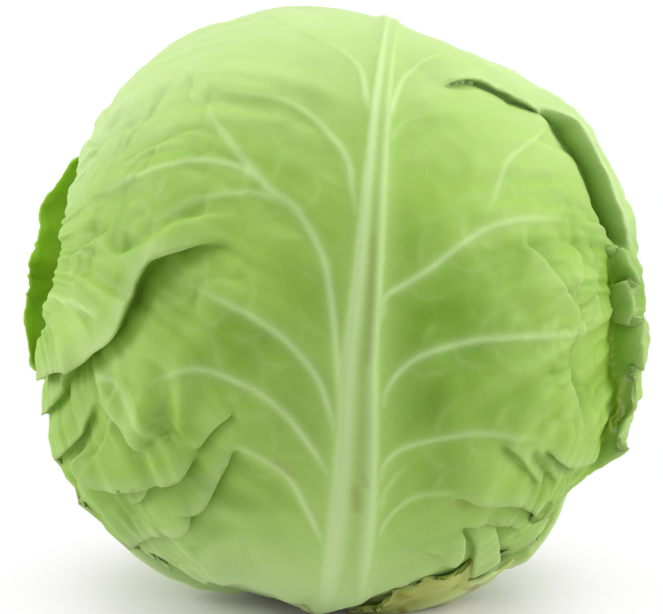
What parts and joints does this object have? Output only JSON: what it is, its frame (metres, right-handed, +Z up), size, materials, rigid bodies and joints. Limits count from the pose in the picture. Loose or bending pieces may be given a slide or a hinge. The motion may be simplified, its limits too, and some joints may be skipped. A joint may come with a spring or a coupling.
{
  "type": "cabbage head",
  "caption": "Round white cabbage head with crumpled wrapper leaves folded round a dense heart, a cut stem and a small flat spot that it rests on.",
  "frame": {"origin": "in the middle of the flat spot that the head rests on, just behind the stem", "axes": "+Z up, the rib of the front leaf faces -Y, +X to the right seen from the front"},
  "size_m": [0.1898, 0.1758, 0.1755],
  "materials": {
    "leaf_green": "satin",
    "leaf_bright": "satin",
    "leaf_base_pale": "satin",
    "heart_pale": "satin",
    "stem_cream": "matte"
  },
  "bodies": {
    "root": {"torn_leaf_base": "leaf_base_pale", "leaf_front": "leaf_green", "leaf_back": "leaf_green", "leaf_left": "leaf_bright", "leaf_right": "leaf_bright", "heart": "heart_pale", "stem": "stem_cream"}
  },
  "joints": []
}
